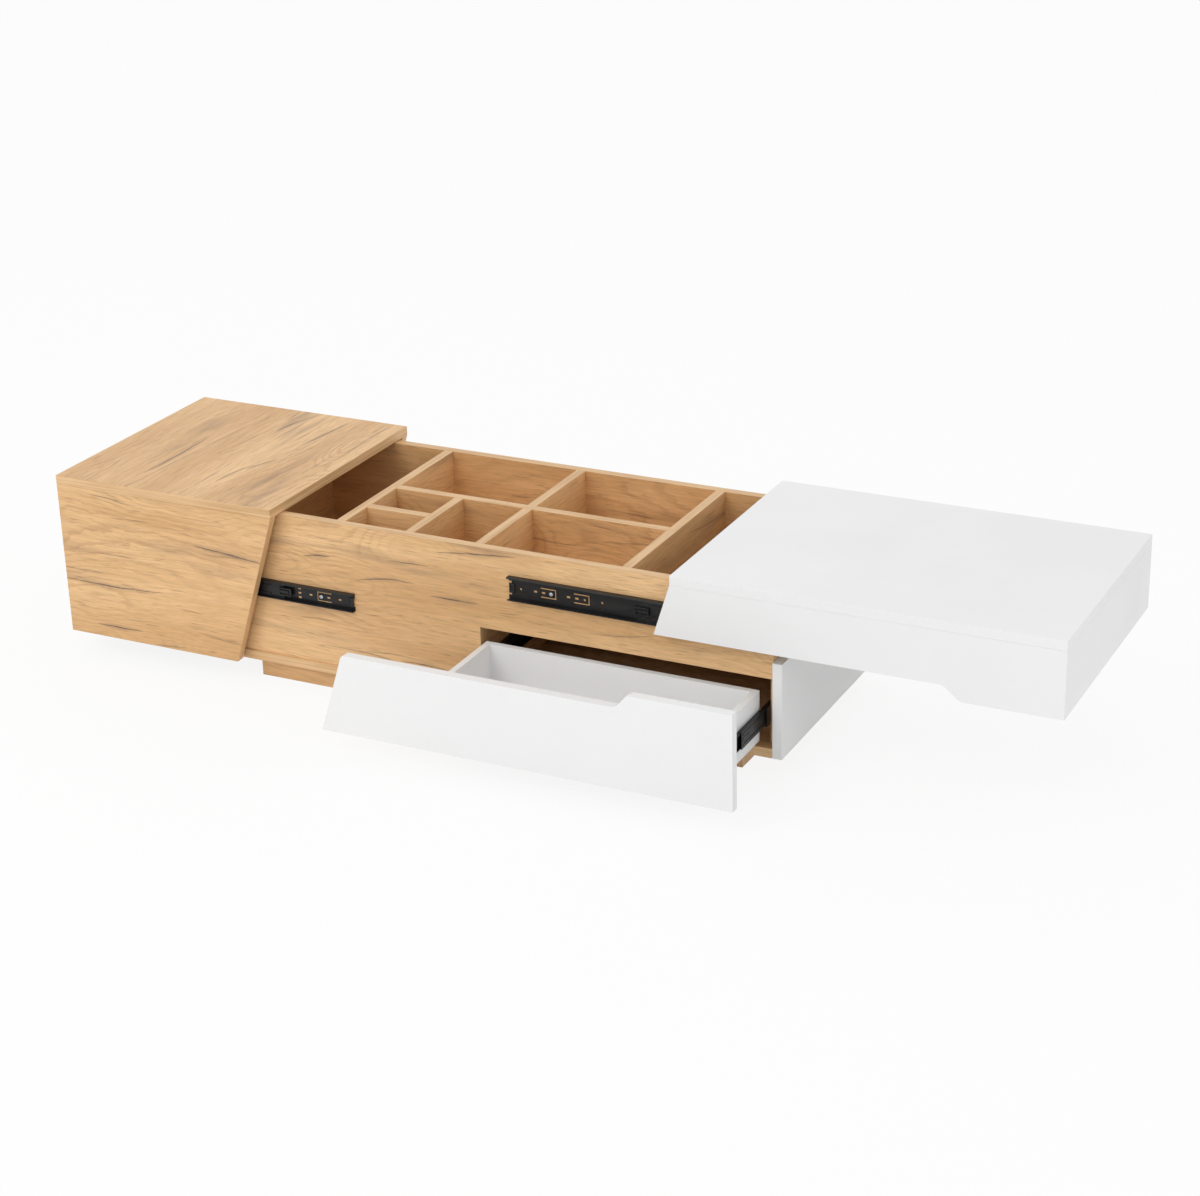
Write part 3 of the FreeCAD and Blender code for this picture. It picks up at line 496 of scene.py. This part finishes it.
def finish_with(piece, kind, **settings):
    """Adds a modifier to a piece and applies it."""
    bpy.ops.object.select_all(action="DESELECT")
    piece.select_set(True)
    bpy.context.view_layer.objects.active = piece
    modifier = piece.modifiers.new(kind.lower(), kind)
    for setting, choice in settings.items():
        setattr(modifier, setting, choice)
    bpy.ops.object.modifier_apply(modifier=modifier.name)


def ease_edges(piece, width):
    """Rounds off a piece's sharp edges."""
    finish_with(
        piece, "BEVEL", width=width, segments=EASE_STEPS, limit_method="ANGLE", angle_limit=EASE_ANGLE,
    )


def joined(name, pieces):
    """Makes one piece of several, with its place in its mesh."""
    bpy.ops.object.select_all(action="DESELECT")
    for piece in pieces:
        piece.select_set(True)
    bpy.context.view_layer.objects.active = pieces[0]
    bpy.ops.object.join()
    whole = bpy.context.object
    bpy.ops.object.transform_apply(location=True, rotation=True, scale=True)
    whole.name = name
    whole.data.name = name
    return whole


def copy_at(model, place):
    """A copy of a piece with a mesh of its own, put in place by a matrix."""
    twin = model.copy()
    twin.data = model.data.copy()
    bpy.context.collection.objects.link(twin)
    twin.matrix_world = place
    return twin


def web_face(low, high, side):
    """How far front or back the outer face of a rail's web lies."""
    return high.y - STEEL_SHEET if side == "front" else low.y + STEEL_SHEET


def at_inner_end(box, top, side, inset):
    """The place of a fitting on the web of a top's rail, at the rail's inner end and facing outwards."""
    low, high = box
    end_x = high.x - inset if top == "left" else low.x + inset
    place = Matrix.Translation((end_x, web_face(low, high, side), (low.z + high.z) / 2))
    if side == "back":
        place = place @ HALF_TURN_ABOUT_Z
    if (top == "right") == (side == "front"):
        place = place @ HALF_TURN_ABOUT_Y
    return place


stop_half = STOP_HEIGHT / 2
tray = block("stop_tray", (-STOP_LENGTH, -STOP_THICKNESS, -stop_half), (0, 0, stop_half))
pick_faces(tray, lambda face: face.normal.y < -FACING)
bpy.ops.mesh.inset(thickness=TRAY_WALL)
bpy.ops.mesh.inset(thickness=0.0, depth=-TRAY_DEPTH)
bpy.ops.object.mode_set(mode="OBJECT")
tongue_low = (-STOP_LENGTH + TRAY_WALL, -STOP_THICKNESS + TONGUE_SETBACK, -TONGUE_HEIGHT / 2)
tongue_high = (-TONGUE_ROOT, -STOP_THICKNESS + TRAY_DEPTH - TONGUE_ROOM, TONGUE_HEIGHT / 2)
tongue = block("stop_tongue", tongue_low, tongue_high)
pick_faces(tongue, lambda face: face.normal.x > FACING)
bpy.ops.mesh.inset(thickness=TONGUE_TAPER)
bpy.ops.mesh.inset(thickness=0.0, depth=TONGUE_TIP)
bpy.ops.transform.translate(value=(0, -TONGUE_BEND, 0))
bpy.ops.object.mode_set(mode="OBJECT")
slide_stop = joined("slide_stop", [tray, tongue])
ease_edges(slide_stop, STOP_EASE)

for top in ("left", "right"):
    stops = []
    for side in ("front", "back"):
        place = at_inner_end(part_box(f"{top}_{side}_middle_rail"), top, side, STOP_INSETS[top])
        stops.append(copy_at(slide_stop, place))
    stop_pair = joined(f"{top}_slide_stops", stops)
    coat(stop_pair, black_steel)
    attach(stop_pair, f"{top}_top_links")
bpy.data.objects.remove(slide_stop)

# End pads: black plastic bumpers pressed over the notch at the inner end of each top's outer rail.
# The middle rail runs over them, so they are only as thick as the room under its web.
PAD_LENGTH = 11 * MILLIMETRE
PAD_HEIGHT = 19 * MILLIMETRE
PAD_THICKNESS = 2.0 * MILLIMETRE
PAD_RIM = 2.2 * MILLIMETRE
PAD_DISH = 0.9 * MILLIMETRE
PAD_INSET = 1.5 * MILLIMETRE
PAD_EASE = 0.45 * MILLIMETRE

pad_half = PAD_HEIGHT / 2
end_pad = block("end_pad", (-PAD_LENGTH, -PAD_THICKNESS, -pad_half), (0, 0, pad_half))
pick_faces(end_pad, lambda face: face.normal.y < -FACING)
bpy.ops.mesh.inset(thickness=PAD_RIM)
bpy.ops.mesh.inset(thickness=PAD_EASE, depth=-PAD_DISH)
bpy.ops.object.mode_set(mode="OBJECT")
ease_edges(end_pad, PAD_EASE)
pads = []
for top in ("left", "right"):
    for side in ("front", "back"):
        place = at_inner_end(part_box(f"{top}_{side}_cabinet_rail"), top, side, PAD_INSET)
        pads.append(copy_at(end_pad, place))
end_pads = joined("rail_end_pads", pads)
coat(end_pads, black_steel)
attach(end_pads, "carcass")
bpy.data.objects.remove(end_pad)

# Ball cages: pressed strips that carry the balls along the middle rails, and ride with them.
# On the tops' rails they show as two dished ribs in front. On the drawers' they are two ribs and a slotted
# release lever on the rail's back, which stop short of the screw heads when the drawer is shut.
RIB_HEIGHT = 4.0 * MILLIMETRE
RIB_THICKNESS = 1.0 * MILLIMETRE
RIB_SETBACK = 5 * MILLIMETRE
RIB_RISE = 10 * MILLIMETRE
LEVER_START = 4 * MILLIMETRE
LEVER_LENGTH = 28 * MILLIMETRE
LEVER_HEIGHT = 8 * MILLIMETRE
LEVER_RIM = 1.6 * MILLIMETRE
LEVER_DISH = 0.7 * RIB_THICKNESS
CAGE_EASE = 0.3 * MILLIMETRE
TOP_RIB_HEIGHT = 5.6 * MILLIMETRE
TOP_RIB_THICKNESS = 1.2 * MILLIMETRE
TOP_RIB_EDGE = 1.2 * MILLIMETRE
TOP_RIB_DISH = 0.7 * MILLIMETRE
STOP_GAP = 2 * MILLIMETRE
STOP_ROOM = STOP_LENGTH + STOP_GAP


def cage_rib(low, high, outwards, edge, dish):
    """A pressed strip between two corners, dished on its outer face."""
    rib = block("cage_rib", low, high)
    pick_faces(rib, lambda face: face.normal.dot(outwards) > FACING)
    bpy.ops.mesh.inset(thickness=edge)
    bpy.ops.mesh.inset(thickness=CAGE_EASE, depth=-dish)
    bpy.ops.object.mode_set(mode="OBJECT")
    return rib


def cage_set(name, parts, body):
    """Eases the parts of a cage, joins them and lets them ride on the middle rails."""
    for part in parts:
        ease_edges(part, CAGE_EASE)
    cages = joined(name, parts)
    coat(cages, black_steel)
    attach(cages, body)


for top in ("left", "right"):
    cage_parts = []
    for side, outwards in (("front", Vector((0, -1, 0))), ("back", Vector((0, 1, 0)))):
        low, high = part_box(f"{top}_{side}_middle_rail")
        middle_z = (low.z + high.z) / 2
        face_y = web_face(low, high, side)
        rib_y = face_y + outwards.y * TOP_RIB_THICKNESS
        from_x = low.x + (RIB_SETBACK if top == "left" else STOP_ROOM)
        to_x = high.x - (STOP_ROOM if top == "left" else RIB_SETBACK)
        for rise in (-RIB_RISE, RIB_RISE):
            rib_low = (from_x, min(face_y, rib_y), middle_z + rise - TOP_RIB_HEIGHT / 2)
            rib_high = (to_x, max(face_y, rib_y), middle_z + rise + TOP_RIB_HEIGHT / 2)
            cage_parts.append(cage_rib(rib_low, rib_high, outwards, TOP_RIB_EDGE, TOP_RIB_DISH))
    cage_set(f"{top}_top_ball_cages", cage_parts, f"{top}_top_links")

for drawer in ("front", "rear"):
    low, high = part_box(f"{drawer}_drawer_middle_rails")
    middle_z = (low.z + high.z) / 2
    front_y = low.y + LEVER_START if drawer == "front" else high.y - LEVER_START - LEVER_LENGTH
    cage_parts = []
    for back_x, outwards in ((low.x, Vector((-1, 0, 0))), (high.x, Vector((1, 0, 0)))):
        face_x = back_x + outwards.x * RIB_THICKNESS
        low_x, high_x = min(back_x, face_x), max(back_x, face_x)
        for rise in (-RIB_RISE, RIB_RISE):
            rib_low = (low_x, low.y + RIB_SETBACK, middle_z + rise - RIB_HEIGHT / 2)
            rib_high = (high_x, high.y - RIB_SETBACK, middle_z + rise + RIB_HEIGHT / 2)
            cage_parts.append(cage_rib(rib_low, rib_high, outwards, CAGE_EASE, CAGE_EASE))
        lever_low = (low_x, front_y, middle_z - LEVER_HEIGHT / 2)
        lever_high = (high_x, front_y + LEVER_LENGTH, middle_z + LEVER_HEIGHT / 2)
        cage_parts.append(cage_rib(lever_low, lever_high, outwards, LEVER_RIM, LEVER_DISH))
    cage_set(f"{drawer}_drawer_ball_cages", cage_parts, f"{drawer}_drawer_links")

# Screws: zinc plated pan heads with a cross recess, driven through the rails into the boards.
# Every screw is one model, set where the CAD solid of that screw sits.
HEAD_RADIUS = 4.0 * MILLIMETRE
HEAD_HEIGHT = 2.0 * MILLIMETRE
HEAD_SIDES = 24
CROWN = 1.3 * MILLIMETRE
CROWN_STEPS = 4
SHANK_RADIUS = 1.75 * MILLIMETRE
SHANK_LENGTH = 11 * MILLIMETRE
SHANK_SIDES = 16
TIP_LENGTH = 3 * MILLIMETRE
TIP_SHARE = 0.15
RECESS_LENGTH = 4.4 * MILLIMETRE
RECESS_WIDTH = 1.0 * MILLIMETRE
RECESS_DEPTH = 1.2 * MILLIMETRE
SMOOTH_ANGLE = math.radians(35)
SCREW_REACH = 20 * MILLIMETRE
ZINC = paint(214, 215, 218)
ZINC_DULL = paint(178, 180, 184)
ZINC_CELLS = (700.0, 700.0, 700.0)
ZINC_FADE = (0.35, 0.7)
ZINC_ROUGHNESS = (0.3, 0.7, 0.22, 0.38)

zinc, zinc_tree = new_finish("zinc_screw")
zinc_place = shader_node(zinc_tree, "TexCoord", {}).outputs["Object"]
zinc_drift = cloud(zinc_tree, zinc_place, ZINC_CELLS, detail=3.0)
zinc_colour = laid_over(zinc_tree, ramp(zinc_tree, zinc_drift, *ZINC_FADE), ZINC, ZINC_DULL)
zinc_surface = lay_finish(zinc_tree, zinc_colour, ramp(zinc_tree, zinc_drift, *ZINC_ROUGHNESS))
zinc_surface.inputs["Metallic"].default_value = 1.0

bpy.ops.object.select_all(action="DESELECT")
bpy.ops.mesh.primitive_cylinder_add(
    vertices=HEAD_SIDES, radius=HEAD_RADIUS, depth=HEAD_HEIGHT, location=(0, 0, HEAD_HEIGHT / 2),
)
head = bpy.context.object
bpy.ops.object.transform_apply(location=True)
pick_faces(head, lambda face: face.normal.z > FACING)
bpy.ops.mesh.bevel(offset=CROWN, segments=CROWN_STEPS, affect="EDGES")
bpy.ops.object.mode_set(mode="OBJECT")
recess_half = RECESS_LENGTH / 2
slit_half = RECESS_WIDTH / 2
for reach_x, reach_y in ((recess_half, slit_half), (slit_half, recess_half)):
    low = (-reach_x, -reach_y, HEAD_HEIGHT - RECESS_DEPTH)
    high = (reach_x, reach_y, HEAD_HEIGHT + RECESS_DEPTH)
    cutter = block("recess", low, high)
    finish_with(head, "BOOLEAN", operation="DIFFERENCE", object=cutter)
    bpy.data.objects.remove(cutter)
bpy.ops.object.select_all(action="DESELECT")
bpy.ops.mesh.primitive_cylinder_add(
    vertices=SHANK_SIDES, radius=SHANK_RADIUS, depth=SHANK_LENGTH, location=(0, 0, -SHANK_LENGTH / 2),
)
shank = bpy.context.object
bpy.ops.object.transform_apply(location=True)
pick_faces(shank, lambda face: face.normal.z < -FACING)
bpy.ops.transform.translate(value=(0, 0, TIP_LENGTH))
bpy.ops.mesh.inset(thickness=0.0, depth=TIP_LENGTH)
bpy.ops.transform.resize(value=(TIP_SHARE, TIP_SHARE, 1))
bpy.ops.object.mode_set(mode="OBJECT")
pan_screw = joined("pan_screw", [head, shank])
bpy.ops.object.shade_smooth_by_angle(angle=SMOOTH_ANGLE)


def screw_places(node_name):
    """The seat of each screw in a CAD node, and the way its head points."""
    clusters = []
    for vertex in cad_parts[node_name].data.vertices:
        near = [cluster for cluster in clusters if (cluster[0] - vertex.co).length < SCREW_REACH]
        if near:
            near[0].append(vertex.co.copy())
        else:
            clusters.append([vertex.co.copy()])
    places = []
    for cluster in clusters:
        low = Vector([min(point[axis] for point in cluster) for axis in range(3)])
        high = Vector([max(point[axis] for point in cluster) for axis in range(3)])
        spread = high - low
        axis = max(range(3), key=lambda number: spread[number])
        middle = (low + high) / 2
        offsets = [point - middle for point in cluster]
        rim = max(offsets, key=lambda offset: offset.length_squared - offset[axis] ** 2)
        way = Vector((0, 0, 0))
        way[axis] = 1.0 if rim[axis] > 0 else -1.0
        seat = middle.copy()
        seat[axis] += rim[axis]
        places.append((seat, way))
    return places


SCREWS = {
    "carcass_screws": "carcass",
    "left_top_screws": "left_top",
    "right_top_screws": "right_top",
    "front_drawer_screws": "front_drawer",
    "rear_drawer_screws": "rear_drawer",
}
for node_name, body in SCREWS.items():
    screws = []
    for seat, way in screw_places(node_name):
        turn = Vector((0, 0, 1)).rotation_difference(way).to_matrix().to_4x4()
        screws.append(copy_at(pan_screw, Matrix.Translation(seat) @ turn))
    screw_set = joined(node_name.replace("screws", "pan_screws"), screws)
    coat(screw_set, zinc)
    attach(screw_set, body)
    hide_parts(node_name)
bpy.data.objects.remove(pan_screw)

# Oak top: a top board with the grain running front to back, on two slanted side panels and an end panel.
# It is the same oak laminate, with cracks of its own, and slides to the left on the lower pair of slides.
TOP_SPLITS = (
    ((-180, -740), (50, -741), 3, 1.0),
    ((-165, -586), (-55, -567), -6, 0.7),
    ((70, -545), (225, -527), 1, 0.9),
    ((120, -634), (235, -613), -4, 0.8),
    ((-90, -567), (-10, -541), -5, 0.8),
)
SIDE_SPLITS = (
    ((-590, 268), (-430, 254), 0, 1.0),
    ((-905, 155), (-660, 158), -3, 0.9),
    ((-830, 69), (-720, 70), -1, 0.9),
    ((-820, 337), (-720, 325), 3, 0.6),
)
oak_top = oak_laminate("oak_top", Y_AXIS, Z_AXIS, TOP_SPLITS)
oak_side = oak_laminate("oak_side", X_AXIS, Y_AXIS, SIDE_SPLITS)
dress("left_top_board", oak_top)
dress("left_front_side", oak_side)
dress("left_back_side", oak_lengthwise)
dress("left_end_panel", oak_crosswise)

# White top: a top board on two stepped aprons and an end apron, all in satin white laminate.
# It slides to the right on the upper pair of slides.
for panel in ("right_top_board", "right_front_apron", "right_back_apron", "right_end_apron"):
    dress(panel, white_laminate)

# Drawers: a shaped white front on a box of thin white boards, with a bottom panel let into grooves.
# The front one is pulled out, and its twin at the rear is shut.
for drawer in ("front", "rear"):
    for part in ("front", "left_side", "right_side", "back", "bottom"):
        dress(f"{drawer}_drawer_{part}", white_laminate)

# Studio: a white floor and a white sky, a little brighter low down, with a large soft lamp at the front left.
# The floor is lifted towards white where the camera sees it, and still takes the table's soft shadow.
PLAIN_WHITE = (1, 1, 1, 1)
HORIZON_LIGHT = 1.0
ZENITH_LIGHT = 0.75
SKY_FADE = (0.1, 0.9)
FLOOR_SIZE = 60.0
FLOOR_WHITE = (0.9, 0.9, 0.9, 1.0)
FLOOR_ROUGHNESS = 0.9
FLOOR_LIFT = 0.88
LAMP_PLACE = Vector((-1.8, -4.2, 4.6))
LAMP_AIM = Vector((0.1, 0.0, 0.2))
LAMP_SIZE = 3.5
LAMP_POWER = 90.0

scene = bpy.context.scene
scene.view_settings.view_transform = "Standard"


def seen_directly(tree):
    """One for rays that show a surface to the camera, straight or by way of a shiny one."""
    path = shader_node(tree, "LightPath", {})
    shiny = maths(tree, "MAXIMUM", path.outputs["Is Glossy Ray"], path.outputs["Is Transmission Ray"])
    return maths(tree, "MAXIMUM", path.outputs["Is Camera Ray"], shiny)


sky = bpy.data.worlds.new("studio_sky")
sky.use_nodes = True
scene.world = sky
sky_tree = sky.node_tree
sky_place = shader_node(sky_tree, "TexCoord", {}).outputs["Generated"]
sky_height = shader_node(sky_tree, "SeparateXYZ", {0: sky_place}).outputs[2]
sky_light = ramp(sky_tree, sky_height, *SKY_FADE, HORIZON_LIGHT, ZENITH_LIGHT)
sky_missing = maths(sky_tree, "SUBTRACT", 1.0, sky_light)
sky_strength = maths(sky_tree, "MULTIPLY_ADD", seen_directly(sky_tree), sky_missing, sky_light)
sky_tree.links.new(sky_strength, sky_tree.nodes["Background"].inputs["Strength"])
sky_tree.nodes["Background"].inputs["Color"].default_value = PLAIN_WHITE

bpy.ops.object.select_all(action="DESELECT")
bpy.ops.mesh.primitive_plane_add(size=FLOOR_SIZE)
floor = bpy.context.object
floor.name = "studio_floor"
floor_material, floor_tree = new_finish("studio_floor")
floor_surface = floor_tree.nodes["Principled BSDF"]
floor_surface.inputs["Base Color"].default_value = FLOOR_WHITE
floor_surface.inputs["Roughness"].default_value = FLOOR_ROUGHNESS
floor_glow = shader_node(floor_tree, "Emission", {"Color": PLAIN_WHITE, "Strength": 1.0})
lift = maths(floor_tree, "MULTIPLY", seen_directly(floor_tree), FLOOR_LIFT)
floor_mix = shader_node(
    floor_tree, "MixShader", {0: lift, 1: floor_surface.outputs[0], 2: floor_glow.outputs[0]},
)
floor_tree.links.new(floor_mix.outputs[0], floor_tree.nodes["Material Output"].inputs["Surface"])
floor.data.materials.append(floor_material)

lamp_data = bpy.data.lights.new("soft_lamp", "AREA")
lamp_data.shape = "DISK"
lamp_data.size = LAMP_SIZE
lamp_data.energy = LAMP_POWER
lamp = bpy.data.objects.new("soft_lamp", lamp_data)
scene.collection.objects.link(lamp)
lamp.location = LAMP_PLACE
lamp.rotation_euler = (LAMP_AIM - LAMP_PLACE).to_track_quat("-Z", "Y").to_euler()

# Camera: a long lens from the front right and above, held a little out of level, as the photograph was taken.
CAMERA_PLACE = Vector((2.135731, -3.959895, 2.068443))
CAMERA_AZIMUTH = math.radians(26.805)
CAMERA_ELEVATION = math.radians(23.021)
CAMERA_ROLL = math.radians(-1.519)
SENSOR_WIDTH = 36.0
LENS = 78.441

camera_data = bpy.data.cameras.new("camera")
camera_data.sensor_fit = "HORIZONTAL"
camera_data.sensor_width = SENSOR_WIDTH
camera_data.lens = LENS
camera = bpy.data.objects.new("camera", camera_data)
scene.collection.objects.link(camera)
level = math.cos(CAMERA_ELEVATION)
backwards = Vector((
    math.sin(CAMERA_AZIMUTH) * level,
    -math.cos(CAMERA_AZIMUTH) * level,
    math.sin(CAMERA_ELEVATION),
))
sideways = Vector((math.cos(CAMERA_AZIMUTH), math.sin(CAMERA_AZIMUTH), 0))
upright = backwards.cross(sideways)
rolled_side = math.cos(CAMERA_ROLL) * sideways + math.sin(CAMERA_ROLL) * upright
rolled_up = math.cos(CAMERA_ROLL) * upright - math.sin(CAMERA_ROLL) * sideways
turn = Matrix((rolled_side, rolled_up, backwards)).transposed().to_4x4()
camera.matrix_world = Matrix.Translation(CAMERA_PLACE) @ turn
scene.camera = camera
